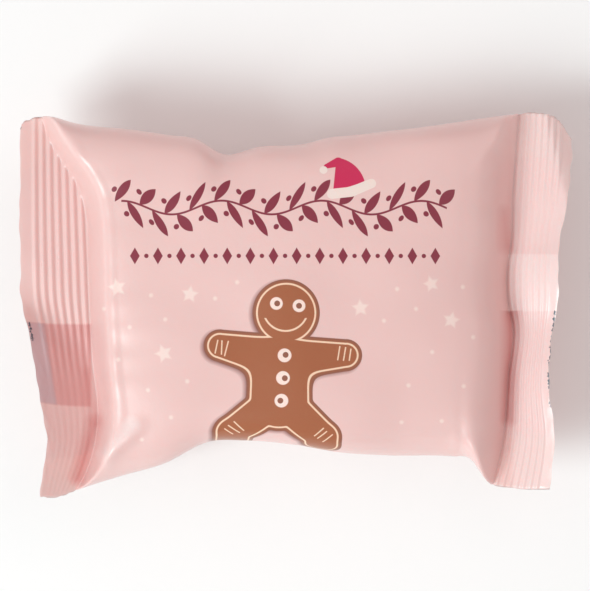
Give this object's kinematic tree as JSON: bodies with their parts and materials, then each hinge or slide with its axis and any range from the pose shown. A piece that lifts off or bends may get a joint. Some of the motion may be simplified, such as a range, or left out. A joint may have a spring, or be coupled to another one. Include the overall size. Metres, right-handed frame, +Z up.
{
  "type": "sealed fortune cookie pack",
  "caption": "Small shut flow-wrap pack for a fortune cookie: pale pink film with crimped end seals and a printed gingerbread figure, lying on its back",
  "frame": {"origin": "under the middle of the pack, at the height of the surface it lies on", "axes": "+X from seal to seal along the pack, +Y towards the top of the printed panel, +Z up out of the printed panel"},
  "size_m": [0.1066, 0.0744, 0.0281],
  "materials": {
    "printed_film": "matt printed polypropylene film"
  },
  "bodies": {
    "root": {"sealed_pack": "printed_film"}
  },
  "joints": []
}
